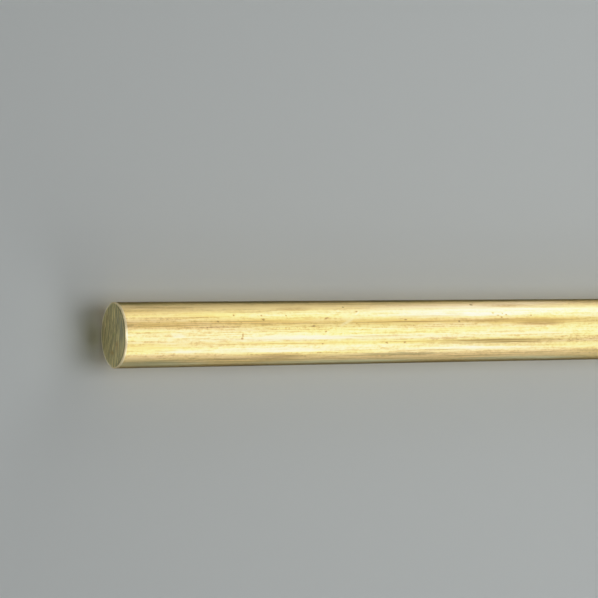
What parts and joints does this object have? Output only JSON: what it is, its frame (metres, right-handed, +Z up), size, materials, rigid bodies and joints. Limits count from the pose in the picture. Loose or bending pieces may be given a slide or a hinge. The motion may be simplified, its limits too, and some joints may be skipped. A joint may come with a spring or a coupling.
{
  "type": "brass round bar",
  "caption": "Solid drawn brass round bar, sawn square to length with a narrow filed edge round each end; stock for turning, pins, shafts and spacers.",
  "frame": {"origin": "on the floor plane, under the middle of the bar's length and of its diameter", "axes": "+X along the bar's axis, away from the sawn end that the picture shows; +Z up, square to the floor that the bar lies on; +Y across the bar"},
  "size_m": [0.3, 0.025, 0.025],
  "materials": {
    "brass": "bright drawn, satin, with lengthwise draw lines and light tarnish"
  },
  "bodies": {
    "root": {"round_bar": "brass"}
  },
  "joints": []
}
